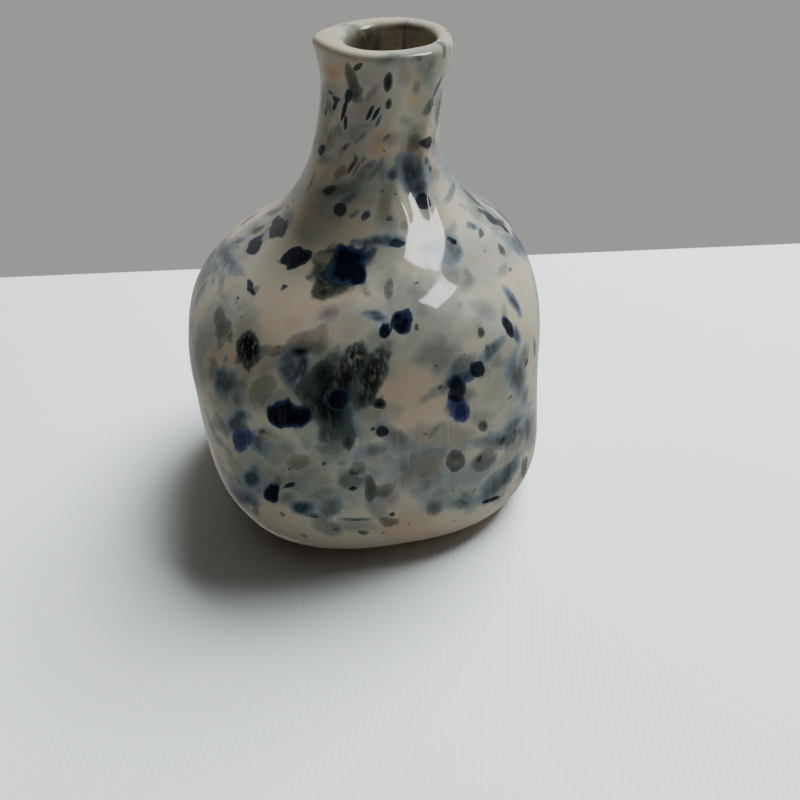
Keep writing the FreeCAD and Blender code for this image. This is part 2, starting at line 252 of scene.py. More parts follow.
SHOULDER = splashes(
    ("big patch, green", D, -102, 64.4, 4.8, 3.8, -43, 1.0),
    ("big patch, core", N, -101, 65.2, 3.6, 2.9, -58),
    ("big patch, right lobe", N, -94, 63.6, 2.3, 1.6, -74),
    ("big patch, foot", N, -95, 62.4, 1.4, 0.9, -5),
    ("big patch, low left", D, -108, 62.2, 2.0, 1.5, -52, 0.95),
    ("big patch, top left", D, -114, 66.5, 1.8, 1.1, -5, 0.6),
    ("band beside the patch", S, -85, 67.3, 4.6, 0.9, -12, 0.9),
    ("band, dark end", N, -76, 66.8, 1.6, 0.7, -19, 0.85),
    ("front oval", N, -128, 65.5, 3.1, 1.8, 18),
    ("left oval", N, -162, 63.3, 3.2, 1.7, 6),
    ("upper oval", N, -161, 67, 4.4, 2.0, 7, 0.95),
    ("upper oval, shadow", G, -156, 69.4, 3.2, 1.6, 7, 0.7),
    ("back stroke", S, 177, 67.7, 3.6, 1.0, 46, 0.8),
    ("back tick", S, -178, 61, 2.2, 0.8, 50, 0.8),
    ("comma", N, -139, 60.1, 2.4, 0.8, -20, 0.95),
    ("comma's dot", N, -140, 58.1, 1.0, 0.5, -25, 0.85),
    ("spot over the patch", N, -114, 74.2, 1.3, 0.9, -43, 0.85),
    ("smear over the patch", S, -109, 75.5, 1.7, 1.1, 29, 0.6),
    ("violet dot", C, -96, 72.1, 0.8, 0.7, 0, 0.9),
    ("pale column, left", G, -133, 69.4, 3.7, 2.0, -36, 0.35),
    ("grey column", G, -82, 71.8, 4.9, 1.9, -89, 0.7),
    ("slate under the flute", S, -48, 64, 2.8, 1.9, 52, 0.85),
    ("hook under the flute", N, -45, 65, 1.1, 0.6, -42, 0.9),
    ("grey under the flute", G, -54, 61.6, 3.8, 2.5, 60, 0.75),
    ("blue under the highlight", S, -57, 65.2, 1.9, 1.2, 9, 0.8),
    ("grey leaf", G, -49, 60.2, 2.8, 1.3, 56, 0.85),
    ("right fleck, low", G, -31, 59.2, 3.1, 1.1, -2, 0.75),
    ("right fleck, far", G, -19, 59.9, 3.0, 1.2, -3, 0.45),
    ("right dash, far", N, -3, 63.3, 2.1, 0.7, -50, 0.8),
    ("right dash, edge", N, 1, 60.8, 2.4, 0.9, -30, 0.85),
    ("right dash, near", S, -26, 65.4, 1.9, 0.8, -32, 0.95),
    ("right dash, low", N, -24, 63.2, 2.0, 0.7, -2, 0.85),
    ("right loop", G, -40, 66.4, 1.4, 0.9, 35, 0.6),
    ("line below the neck", S, -23, 70.5, 4.1, 0.7, 0, 0.75),
)

NECK = splashes(
    ("flute, slate", S, -61, 76.8, 3.1, 2.8, -53, 0.95),
    ("flute, low slate", S, -58, 73.9, 2.4, 1.5, -20, 0.95),
    ("flute, navy", N, -54, 72.1, 1.5, 1.1, -30, 0.9),
    ("flute, left edge", S, -77, 77.1, 1.2, 0.9, -17, 0.9),
    ("flute, right tick", S, -44, 77.9, 0.8, 0.6, -68, 0.9),
    ("right of the flute", G, -38, 75.3, 2.6, 1.8, -6, 0.65),
    ("neck root, grey", G, -116, 78.4, 6.2, 2.3, 9, 0.78),
    ("neck root, dark", D, -128, 78.1, 1.3, 0.8, 11, 0.85),
    ("neck root, right", G, -103, 79.5, 2.0, 1.5, 3, 0.75),
    ("neck oval", N, -148, 84.3, 1.3, 0.8, 60),
    ("mauve dash", M, -118, 86, 1.3, 0.6, 27, 1.0),
    ("tick, first", N, -99, 90.7, 1.1, 0.4, 63, 0.9),
    ("tick, second", N, -94, 89.6, 1.0, 0.4, 57, 0.9),
    ("tick, third", S, -91, 88, 0.9, 0.4, 75, 0.9),
    ("upright dash", D, -86, 93.9, 1.4, 0.6, -83, 0.95),
    ("upright dash, foot", D, -84, 90.3, 0.7, 0.5, -74, 0.9),
    ("grey under the lip", G, -86, 98.6, 2.3, 1.2, -7, 0.6),
    ("grey wash, right", G, -55, 95.4, 3.8, 2.2, -63, 0.5),
    ("mauve wash", M, -102, 92, 2.8, 2.1, -2, 0.4),
    ("grey wash, mid", G, -105, 88, 3.5, 2.6, 1, 0.5),
    ("peach, neck front", T, -63, 92.5, 3.2, 1.6, -71, 0.75),
    ("peach, neck low", T, -88, 84.5, 3.0, 2.0, 80, 0.6),
    ("grey disc, upper", G, -64, 86.6, 1.5, 1.0, -28, 0.6),
    ("grey disc, lower", G, -77, 83.1, 1.6, 1.2, -36, 0.6),
    ("grey beside the ridge", G, -54, 83.2, 2.0, 1.2, -70, 0.55),
    ("slate, right edge", S, -25, 86, 3.0, 1.1, -80, 0.8),
    ("spot, right edge", N, -42, 81.5, 1.5, 0.9, -24, 0.9),
    ("brown under the lip", T, -145, 98.8, 3.4, 1.0, 13, 1.0),
    ("dot under the lip", N, -112, 99.6, 0.9, 0.5, 8, 0.8),
    ("streak under the dot", D, -116, 97.3, 2.8, 0.9, -64, 0.7),
    ("streak, dark foot", N, -121, 95, 1.2, 0.9, 74, 0.85),
    ("curl, start", N, -137, 94.8, 2.1, 0.35, -11, 0.85),
    ("curl, middle", N, -124, 92.8, 1.7, 0.4, 81, 0.9),
    ("curl, end", N, -121, 90.4, 1.2, 0.35, -86, 0.85),
    ("curl, inner tick", N, -136, 93.2, 0.8, 0.45, 56, 0.85),
    ("curl, outer tick", N, -149, 91.2, 0.7, 0.4, 80, 0.8),
)

BORE_MARKS_AND_PAINTED_SHADE = splashes(
    # The two dark veils down the bore are painted shade: they darken the deep inside of the neck, where shade
    # falls.
    ("painted shade down the bore, left", DW, 120, 88, 11.0, 8.0, 0, 0.75),
    ("painted shade down the bore, right", DW, 60, 88, 11.0, 8.0, 0, 0.75),
    ("grey streak down the bore", G, 98, 94, 5.5, 0.9, 90, 0.85),
    ("violet streak down the bore", M, 62, 95, 6.0, 0.5, 86, 1.0),
    ("stroke on the right of the bore", N, 28, 97, 1.9, 0.4, 60, 0.85),
    ("brown dot, left", T, 118, 96.5, 0.5, 0.4, 0, 1.0),
    ("brown dot, middle", T, 88, 97, 0.4, 0.4, 0, 1.0),
)


def colour(code: str) -> tuple[float, float, float, float]:
    """Turn an sRGB hex colour to the linear one that a shader takes.

    Args:
        code: Six hex digits.

    Returns:
        Red, green, blue and alpha.
    """
    values = [int(code[i:i + 2], 16) / 255.0 for i in (0, 2, 4)]
    linear = [v / 12.92 if v <= 0.04045 else ((v + 0.055) / 1.055) ** 2.4 for v in values]
    return linear[0], linear[1], linear[2], 1.0


def smooth(share: np.ndarray) -> np.ndarray:
    """Ease a share from 0 to 1 with level ends."""
    share = np.clip(share, 0.0, 1.0)
    return share * share * (3.0 - 2.0 * share)


def middle_line(height: np.ndarray) -> tuple[np.ndarray, np.ndarray]:
    """Say where the middle of the vase stands at a height.

    The neck leans 4.8 mm to the right from 45 to 80 mm up, and a further 2.5 mm by 100 mm.

    Args:
        height: Heights in millimetres.

    Returns:
        The x and y of the middle, in millimetres.
    """
    lean = smooth((height - 45.0) / 35.0)
    upper = np.clip((height - 80.0) / 20.0, 0.0, 1.1)
    return 4.8 * lean + 2.5 * upper, 0.8 * lean


class Nodes:
    """A node tree under construction."""

    def __init__(self, tree: bpy.types.NodeTree) -> None:
        """Start from an empty tree."""
        self.tree = tree
        tree.nodes.clear()

    def add(self, kind: str, settings: dict | None = None, **links: object) -> bpy.types.Node:
        """Add a node with its settings, values and links.

        Args:
            kind: The node's type.
            settings: Attributes to set on the node.
            **links: Socket names (spaces as "_", numbers after "i") with a socket to link or a value.

        Returns:
            The node.
        """
        node = self.tree.nodes.new(kind)
        for name, value in (settings or {}).items():
            setattr(node, name, value)
        for name, value in links.items():
            key = int(name[1:]) if name[0] == "i" and name[1:].isdigit() else name.replace("_", " ")
            socket = node.inputs[key]
            if isinstance(value, bpy.types.NodeSocket):
                self.tree.links.new(value, socket)
            else:
                socket.default_value = value
        return node

    def maths(self, operation: str, *values: object, **settings: object) -> bpy.types.NodeSocket:
        """Add a Math node with its inputs in order, each a socket or a value, and return its result."""
        inputs = {f"i{index}": value for index, value in enumerate(values)}
        return self.add("ShaderNodeMath", {"operation": operation, **settings}, **inputs).outputs[0]

    def mixed(self, share: object, low: object, high: object) -> bpy.types.NodeSocket:
        """Mix two colours, where share says how much there is of the second, and return the result."""
        node = self.add("ShaderNodeMix", {"data_type": "RGBA"}, Factor=share, i6=low, i7=high)
        return node.outputs[2]

    def spanned(self, value: object, low: float, high: float, top: float = 1.0,
                kind: str = "LINEAR") -> bpy.types.NodeSocket:
        """Map a value from between low and high to between 0 and top, and return the result."""
        node = self.add("ShaderNodeMapRange", {"interpolation_type": kind}, Value=value, From_Min=low,
                        From_Max=high, To_Max=top)
        return node.outputs["Result"]

    def noise(self, where: bpy.types.NodeSocket, size_mm: float, detail: float,
              **links: object) -> bpy.types.NodeSocket:
        """Add noise with waves of a size in millimetres, and return it, from 0 to 1."""
        scale = 1.0 / (size_mm * MM)
        node = self.add("ShaderNodeTexNoise", Vector=where, Scale=scale, Detail=detail, **links)
        return node.outputs["Fac"]

    def bump(self, height: bpy.types.NodeSocket, strength: float, depth_mm: float) -> bpy.types.NodeSocket:
        """Turn a height from 0 to 1 to a shading normal, and return it."""
        node = self.add("ShaderNodeBump", Strength=strength, Distance=depth_mm * MM, Height=height)
        return node.outputs["Normal"]

    def principled(self, **links: object) -> None:
        """Add the material's shader, with the values given, and its output."""
        shader = self.add("ShaderNodeBsdfPrincipled", **links)
        self.add("ShaderNodeOutputMaterial", Surface=shader.outputs["BSDF"])


def new_material(name: str) -> tuple[bpy.types.Material, Nodes, bpy.types.NodeSocket]:
    """Start a material.

    Args:
        name: Its name.

    Returns:
        The material, its nodes, and its Object coordinates.
    """
    material = bpy.data.materials.new(name)
    material.use_nodes = True
    nodes = Nodes(material.node_tree)
    return material, nodes, nodes.add("ShaderNodeTexCoord").outputs["Object"]


def put(name: str, data: bpy.types.ID) -> bpy.types.Object:
    """Put a mesh, lamp or camera into the scene as an object."""
    thing = bpy.data.objects.new(name, data)
    bpy.context.scene.collection.objects.link(thing)
    return thing


@dataclass(frozen=True)
class Bisque:
    """Bare buff stoneware, fired and unglazed: matt and faintly gritty, with small dark grog.

    Attributes:
        body: The clay's colour.
        grog: The colour of its dark grains.
        grain_mm: The size of those grains.
        roughness: The clay's own.
    """

    body: str = "B9A58C"
    grog: str = "8D7760"
    grain_mm: float = 0.6
    roughness: float = 0.85

    def build(self, name: str) -> bpy.types.Material:
        """Make the material.

        Args:
            name: The material's name.

        Returns:
            The material.
        """
        material, nodes, where = new_material(name)
        grain = nodes.noise(where, self.grain_mm, 3.0)
        fleck = nodes.add("ShaderNodeValToRGB", Fac=grain)
        fleck.color_ramp.elements[0].position = 0.35
        fleck.color_ramp.elements[0].color = colour(self.grog)
        fleck.color_ramp.elements[1].position = 0.5
        fleck.color_ramp.elements[1].color = colour(self.body)
        nodes.principled(Base_Color=fleck.outputs["Color"], Roughness=self.roughness,
                         Normal=nodes.bump(grain, 0.5, 0.1))
        return material


@dataclass(frozen=True)
class StainLook:
    """How one family of stain shows under the clear glaze.

    Attributes:
        stain: The family.
        thin: Its colour where it is thin.
        dense: Its colour where it has pooled.
        edge: How wide its edge is, as a share of the mark.
        wobble: How far fine noise moves that edge.
        dry: How much the dry brush's upright lines show through.
    """

    stain: Stain
    thin: str
    dense: str
    edge: float
    wobble: float
    dry: float


LOOKS = [
    StainLook(TW, "AC947C", "9C8468", 1.10, 0.9, 0.0),
    StainLook(GW, "787B74", "5A5E58", 0.70, 1.2, 0.1),
    StainLook(SW, "69737A", "465059", 0.70, 1.2, 0.2),
    StainLook(DW, "4E5451", "2A302F", 0.70, 1.2, 0.35),
    StainLook(T, "A38A70", "8A6E54", 0.80, 0.70, 0.0),
    StainLook(G, "86887E", "555B55", 0.36, 0.60, 0.15),
    StainLook(M, "8A7F7E", "54454E", 0.36, 0.50, 0.2),
    StainLook(S, "667077", "2B353D", 0.34, 0.60, 0.2),
    StainLook(D, "3E4643", "0C1112", 0.34, 0.55, 0.15),
    StainLook(B, "3E4643", "0B0F10", 0.30, 0.45, 0.55),
    StainLook(C, "3A4262", "1C2340", 0.30, 0.45, 0.15),
    StainLook(N, "26344A", "080D19", 0.16, 0.24, 0.05),
]


@dataclass(frozen=True)
class SplashedGloss:
    """Clear gloss glaze, dipped, over stain splashed and brushed on a cream slip.

    The eye sees crisp pooled blots, soft washes, broken upright lines where the brush ran dry and iron
    specks, all under one wet-looking surface that bends its reflections a little.

    Attributes:
        slip: The cream of the slip.
        warm: The slip where the clay blushes through.
        cool: The slip where thin wash has dulled it.
        speck_mm: The spacing of the iron specks.
        roughness: The glaze's own.
    """

    slip: str = "9F9783"
    warm: str = "98846F"
    cool: str = "96968B"
    speck_mm: float = 4.6
    roughness: float = 0.07

    def slip_colour(self, nodes: Nodes, where: bpy.types.NodeSocket) -> bpy.types.NodeSocket:
        """Mottle the cream slip with blush and thin wash.

        Args:
            nodes: The tree.
            where: Object coordinates.

        Returns:
            The slip's colour.
        """
        blush = nodes.spanned(nodes.noise(where, 14.0, 2.0), 0.48, 0.72, 0.75)
        warmed = nodes.mixed(blush, colour(self.slip), colour(self.warm))
        dull = nodes.spanned(
            nodes.noise(where, 6.0, 4.0, Roughness=0.62, Distortion=0.6), 0.47, 0.66, 0.75)
        return nodes.mixed(dull, warmed, colour(self.cool))

    def stained(
        self, nodes: Nodes, base: bpy.types.NodeSocket, look: StainLook,
        fine: bpy.types.NodeSocket, lines: bpy.types.NodeSocket,
    ) -> bpy.types.NodeSocket:
        """Lay one family of stain over what is there.

        Args:
            nodes: The tree.
            base: The colour so far.
            look: The family's look.
            fine: Fine noise, about 0.
            lines: Upright dry-brush lines, 0 to 1.

        Returns:
            The colour with the stain on it.
        """
        laid = nodes.add("ShaderNodeAttribute", {"attribute_name": look.stain.value})
        strength = nodes.add("ShaderNodeAttribute", {"attribute_name": look.stain.value + "_strength"})
        moved = nodes.maths("MULTIPLY_ADD", fine, look.wobble, laid.outputs["Fac"])
        cover = nodes.spanned(moved, -0.5 * look.edge, 0.5 * look.edge, kind="SMOOTHSTEP")
        pooled = nodes.spanned(moved, 0.2 * look.edge, 1.8 * look.edge)
        tint = nodes.mixed(pooled, colour(look.thin), colour(look.dense))
        kept = nodes.maths("SUBTRACT", 1.0, nodes.maths("MULTIPLY", lines, look.dry))
        dense = nodes.maths("MULTIPLY", cover, strength.outputs["Fac"])
        return nodes.mixed(nodes.maths("MULTIPLY", dense, kept, use_clamp=True), base, tint)

    def specked(
        self, nodes: Nodes, base: bpy.types.NodeSocket, where: bpy.types.NodeSocket,
    ) -> bpy.types.NodeSocket:
        """Scatter iron specks, most of them about a quarter of a millimetre across.

        Args:
            nodes: The tree.
            base: The colour so far.
            where: Object coordinates.

        Returns:
            The colour with specks.
        """
        for spacing, size, tone in ((self.speck_mm, 0.055, "1C1F22"), (self.speck_mm * 1.7, 0.05, "4A3324")):
            cells = nodes.add("ShaderNodeTexVoronoi", Vector=where, Scale=1.0 / (spacing * MM))
            base = nodes.mixed(nodes.spanned(cells.outputs["Distance"], size, size * 0.5), base, colour(tone))
        return base

    def build(self, name: str) -> bpy.types.Material:
        """Make the material.

        Args:
            name: The material's name.

        Returns:
            The material.
        """
        material, nodes, where = new_material(name)
        fine = nodes.maths("SUBTRACT", nodes.noise(where, 2.4, 5.0, Roughness=0.6), 0.5)
        stretch = nodes.add("ShaderNodeMapping", Vector=where, Scale=(1.0, 1.0, 0.05))
        lines = nodes.spanned(nodes.noise(stretch.outputs["Vector"], 0.8, 2.0), 0.5, 0.72)
        tone = self.slip_colour(nodes, where)
        for look in LOOKS:
            tone = self.stained(nodes, tone, look, fine, lines)
        tone = self.specked(nodes, tone, where)
        nodes.principled(
            Base_Color=tone, Roughness=self.roughness, IOR=1.44, Specular_IOR_Level=0.42,
            Normal=nodes.bump(nodes.noise(where, 3.0, 1.0), 0.12, 0.1))
        return material


@dataclass(frozen=True)
class Card:
    """Matt card, plain or with a fine pressed rib.

    Attributes:
        tone: Its colour.
        rib_mm: The spacing of its ribs, or 0 for none.
        rib_turn: How far they are turned, in radians.
        roughness: The card's own.
    """

    tone: str
    rib_mm: float = 0.0
    rib_turn: float = 0.0
    roughness: float = 0.9

    def build(self, name: str) -> bpy.types.Material:
        """Make the material.

        Args:
            name: The material's name.

        Returns:
            The material.
        """
        material, nodes, where = new_material(name)
        links: dict[str, object] = {}
        if self.rib_mm:
            turned = nodes.add("ShaderNodeMapping", Vector=where, Rotation=(0.0, 0.0, self.rib_turn))
            ribs = nodes.add(
                "ShaderNodeTexWave", {"bands_direction": "X"}, Vector=turned.outputs["Vector"],
                Scale=0.314 / (self.rib_mm * MM), Distortion=0.5)
            links["Normal"] = nodes.bump(ribs.outputs["Fac"], 0.35, 0.08)
        nodes.principled(
            Base_Color=colour(self.tone), Roughness=self.roughness, Specular_IOR_Level=0.2, **links)
        return material


# How much wider each family spreads under the glaze than the size that its marks are given.
SPREAD = {
    N: 1.18, C: 1.25, D: 1.3, S: 1.35, G: 1.3, M: 1.3, T: 1.2, B: 1.3, GW: 1.25, SW: 1.25, DW: 1.2, TW: 1.3,
}

# How wide the waves are that bend a mark's outline, in millimetres, and how far they move it.
BROAD_WAVES, BROAD_SHARE = 7.0, 0.26
TIGHT_WAVES, TIGHT_SHARE = 2.6, 0.11
WAVES = 7


def waver(points: np.ndarray, size: float, rng: np.random.Generator) -> np.ndarray:
    """Make a smooth field that wanders between about -1 and 1.

    Args:
        points: Where to evaluate it, in millimetres.
        size: How wide its waves are, in millimetres.
        rng: The seeded source of chance.

    Returns:
        One value for each point.
    """
    total = np.zeros(points.shape[:-1])
    for _ in range(WAVES):
        way = rng.normal(size=3)
        way *= 2.0 * math.pi / size * float(rng.uniform(0.7, 1.4)) / float(np.linalg.norm(way))
        total += np.sin(points @ way + float(rng.uniform(0.0, 6.28)))
    return total / 2.6


def decorate(splashes: Iterable[Splash], points: np.ndarray, azimuth: np.ndarray, place: np.ndarray,
             heights: np.ndarray, reach: np.ndarray) -> dict[str, np.ndarray]:
    """Work out every family's field over the grid: 1 in the middle of a mark, 0 at its edge.

    Args:
        splashes: The marks.
        points: The vertices, in millimetres.
        azimuth: Each vertex's azimuth, in radians.
        place: Each vertex's length along the profile, in millimetres.
        heights: Each ring's mean height, for finding a mark's place.
        reach: Each vertex's distance from the middle line, in millimetres.

    Returns:
        One array for each family, and one for its strength.
    """
    rows = place.mean(axis=1)
    rng = np.random.default_rng(SEED)
    broad = [waver(points, BROAD_WAVES, rng) for _ in range(2)]
    tight = [waver(points, TIGHT_WAVES, rng) for _ in range(2)]
    bend = [BROAD_SHARE * wide + TIGHT_SHARE * fine for wide, fine in zip(broad, tight)]
    fields: dict[str, np.ndarray] = {}
    for stain in Stain:
        fields[stain.value] = np.full(azimuth.shape, -1.0)
        fields[stain.value + "_strength"] = np.zeros(azimuth.shape)
    for splash in splashes:
        row = int(np.abs(heights - splash.height).argmin())
        across = np.angle(np.exp(1j * (azimuth - math.radians(splash.azimuth)))) * reach
        across = across + splash.short * bend[0]
        along = place - rows[row] + splash.short * bend[1]
        lean = math.radians(splash.lean)
        u = across * math.cos(lean) + along * math.sin(lean)
        v = -across * math.sin(lean) + along * math.cos(lean)
        away = np.hypot(u / splash.long, v / splash.short) / SPREAD[splash.stain]
        value = np.clip(1.0 - away, -1.0, 1.0)
        key = splash.stain.value
        nearer = value > fields[key]
        fields[key] = np.where(nearer, value, fields[key])
        strength = fields[key + "_strength"]
        fields[key + "_strength"] = np.where(nearer, splash.strength, strength)
    return fields


def scattered(rng: np.random.Generator) -> list[Splash]:
    """Spread chance marks between the listed ones.

    The back and sides have only these: washes and splashes. The lower front and the neck get mottle
    between their listed marks, and small flecks lie all round.

    Args:
        rng: The seeded source of chance.

    Returns:
        The marks.
    """
    odds = {N: 0.15, C: 0.05, D: 0.12, S: 0.2, G: 0.32, M: 0.05, T: 0.05, B: 0.06}
    marks = []

    def between(low: float, high: float) -> float:
        """Draw a number between two limits."""
        return float(rng.uniform(low, high))

    def one_of(*stains: Stain) -> Stain:
        """Draw one of the families."""
        return stains[int(rng.integers(len(stains)))]

    def lay(stain: Stain, low: float, high: float, size: float, strength: float) -> None:
        """Add one mark somewhere between two azimuths, and a smaller one if it falls on the neck."""
        height = between(9.0, 97.0)
        size *= 0.6 if height > 76.0 else 1.0
        marks.append(Splash(
            "chance mark", stain, between(low, high), height, size * between(1.0, 1.9), size,
            between(-90.0, 90.0), strength))

    for _ in range(54):
        lay(one_of(GW, GW, SW, DW, TW), -16.0, 194.0, between(3.0, 5.5), 0.7)
    for _ in range(185):
        stain = list(odds)[int(rng.choice(len(odds), p=list(odds.values())))]
        wide = 1.5 if stain in (G, S, T) else 1.0
        lay(stain, -14.0, 198.0, wide * between(0.8, 2.4), between(0.6, 1.0))
    for name, count, stains, *limits in (
        ("front mottle", 85, (G, G, S, S, D, GW, DW), (-142.0, -30.0), (11.0, 56.0), (1.2, 3.4), (0.8, 2.0),
         (-90.0, 90.0)),
        ("neck mottle", 40, (G, S, D, GW, M), (-160.0, -20.0), (77.0, 98.0), (0.8, 2.4), (0.4, 1.1),
         (30.0, 110.0)),
    ):
        for _ in range(count):
            stain = one_of(*stains)
            marks.append(Splash(name, stain, *(between(*pair) for pair in (*limits, (0.35, 0.8)))))
    for _ in range(230):
        lay(one_of(N, D, S, S, G, G, M), -180.0, 180.0, between(0.22, 0.8), between(0.4, 0.9))
    return marks


@dataclass
class ShrinkTree:
    """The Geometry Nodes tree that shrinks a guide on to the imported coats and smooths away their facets.

    Attributes:
        blur: How many times the distance is averaged with its neighbours.
        ripple_mm: How far the glaze's thickness wanders.
        ripple_size_mm: How wide those waves are.
    """

    blur: int = 6
    ripple_mm: float = 0.12
    ripple_size_mm: float = 9.0

    def build(self) -> bpy.types.NodeTree:
        """Make the tree, with its sizes and targets as named inputs."""
        tree = bpy.data.node_groups.new("shrink_glaze_on", "GeometryNodeTree")
        face = tree.interface
        face.new_socket("Geometry", in_out="INPUT", socket_type="NodeSocketGeometry")
        for name, kind in (
            ("Outer coat", "NodeSocketObject"), ("Liner coat", "NodeSocketObject"),
            ("Material", "NodeSocketMaterial"), ("Blur", "NodeSocketInt"),
            ("Ripple", "NodeSocketFloat"), ("Ripple size", "NodeSocketFloat"), ("Seed", "NodeSocketFloat"),
        ):
            face.new_socket(name, in_out="INPUT", socket_type=kind)
        face.new_socket("Geometry", in_out="OUTPUT", socket_type="NodeSocketGeometry")
        nodes = Nodes(tree)
        given = nodes.add("NodeGroupInput").outputs
        outer = nodes.add("GeometryNodeObjectInfo", Object=given["Outer coat"])
        liner = nodes.add("GeometryNodeObjectInfo", Object=given["Liner coat"])
        coats = nodes.add("GeometryNodeJoinGeometry")
        tree.links.new(outer.outputs["Geometry"], coats.inputs[0])
        tree.links.new(liner.outputs["Geometry"], coats.inputs[0])
        aim = nodes.add("GeometryNodeInputNamedAttribute", {"data_type": "FLOAT_VECTOR"}, Name="aim")
        far = nodes.add("GeometryNodeInputNamedAttribute", {"data_type": "FLOAT"}, Name="far")
        ray = nodes.add(
            "GeometryNodeRaycast", Target_Geometry=coats.outputs[0], Ray_Direction=aim.outputs[0],
            Ray_Length=0.2)
        short = nodes.maths("SUBTRACT", ray.outputs["Hit Distance"], far.outputs[0])
        even = nodes.add(
            "GeometryNodeBlurAttribute", {"data_type": "FLOAT"}, i0=short, Iterations=given["Blur"])
        reach = nodes.maths("ADD", even.outputs[0], far.outputs[0])
        noise = nodes.add(
            "ShaderNodeTexNoise", {"noise_dimensions": "4D"}, W=given["Seed"], Scale=given["Ripple size"],
            Detail=1.0)
        wave = nodes.maths("SUBTRACT", noise.outputs[0], 0.5)
        lift = nodes.maths("MULTIPLY_ADD", wave, given["Ripple"], reach)
        step = nodes.add("ShaderNodeVectorMath", {"operation": "SCALE"}, i0=aim.outputs[0], Scale=lift)
        placed = nodes.add(
            "GeometryNodeSetPosition", Geometry=given["Geometry"], Offset=step.outputs[0])
        whole = nodes.add("GeometryNodeRealizeInstances", Geometry=placed.outputs[0])
        dressed = nodes.add(
            "GeometryNodeSetMaterial", Geometry=whole.outputs[0], Material=given["Material"])
        nodes.add("NodeGroupOutput", Geometry=dressed.outputs[0])
        return tree

    def apply(
        self, guide: bpy.types.Object, outer: bpy.types.Object, liner: bpy.types.Object,
        material: bpy.types.Material,
    ) -> np.ndarray:
        """Run the tree on a guide.

        Args:
            guide: The guide, with an "aim" and a length "far" to the core line for each vertex.
            outer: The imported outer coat.
            liner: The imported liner.
            material: The finish.

        Returns:
            The shrunk vertices, in metres.
        """
        modifier = guide.modifiers.new("shrink", "NODES")
        modifier.node_group = self.build()
        values = {
            "Outer coat": outer, "Liner coat": liner, "Material": material, "Blur": self.blur,
            "Ripple": self.ripple_mm * MM, "Ripple size": 1.0 / (self.ripple_size_mm * MM),
            "Seed": float(SEED),
        }
        for item in modifier.node_group.interface.items_tree:
            if item.in_out == "INPUT" and item.name in values:
                modifier[item.identifier] = values[item.name]
        bpy.context.view_layer.update()
        graph = bpy.context.evaluated_depsgraph_get()
        mesh = bpy.data.meshes.new_from_object(guide.evaluated_get(graph), depsgraph=graph)
        shrunk = np.empty(len(mesh.vertices) * 3)
        mesh.vertices.foreach_get("co", shrunk)
        guide.modifiers.remove(modifier)
        bpy.data.objects.remove(guide)
        return shrunk.reshape(-1, 3)


def surface_normals(points: np.ndarray) -> np.ndarray:
    """Return the outward unit normals of a grid of rings."""
    around = np.roll(points, -1, axis=1) - np.roll(points, 1, axis=1)
    normals = np.cross(around, np.gradient(points, axis=0))
    return normals / (np.linalg.norm(normals, axis=2, keepdims=True) + 1e-12)


def polar(points: np.ndarray, x: np.ndarray, y: np.ndarray) -> tuple[np.ndarray, np.ndarray]:
    """Return each point's azimuth and distance from the middle line, which is at x and y."""
    across, along = points[:, :, 0] - x, points[:, :, 1] - y
    return np.arctan2(along, across), np.hypot(across, along)


def grid_faces(rings: int) -> list[tuple[int, int, int, int]]:
    """Return the quads of a closed-round grid of rings, facing out when the rings run up the outside."""
    return [
        (i * ROUND + j, i * ROUND + (j + 1) % ROUND, (i + 1) * ROUND + (j + 1) % ROUND, (i + 1) * ROUND + j)
        for i in range(rings - 1) for j in range(ROUND)
    ]


@dataclass(frozen=True)
class Ridge:
    """A sharp fold that a finger left in the clay: a narrow crest between two points.

    Attributes:
        azimuths: Its azimuth at the top and at the foot, in degrees.
        heights: Its height at the top and at the foot, in millimetres.
        width: Half its width, in millimetres.
        rise: How far it stands out, in millimetres.
    """

    azimuths: tuple[float, float]
    heights: tuple[float, float]
    width: float
    rise: float

    def lift(self, azimuth: np.ndarray, height: np.ndarray, reach: np.ndarray) -> np.ndarray:
        """Say how far it lifts the surface.

        Args:
            azimuth: Each vertex's azimuth, in radians.
            height: Each vertex's height, in millimetres.
            reach: Each vertex's distance from the middle line, in millimetres.

        Returns:
            The lift, in millimetres.
        """
        top, foot = self.heights
        share = np.clip((top - height) / (top - foot), 0.0, 1.0)
        line = np.radians(self.azimuths[0] + (self.azimuths[1] - self.azimuths[0]) * share)
        away = np.angle(np.exp(1j * (azimuth - line))) * reach
        ends = smooth((height - foot + 3.0) / 4.0) * smooth((top + 3.0 - height) / 4.0)
        return self.rise * ends * np.exp(-0.5 * (away / self.width) ** 2)


FOLDS = [
    Ridge((-76.0, -68.0), (79.0, 71.0), 0.7, 0.3),
    Ridge((-44.0, -52.0), (87.0, 72.0), 0.6, 0.3),
    Ridge((-62.0, -62.0), (84.0, 74.0), 2.0, -0.35),
]


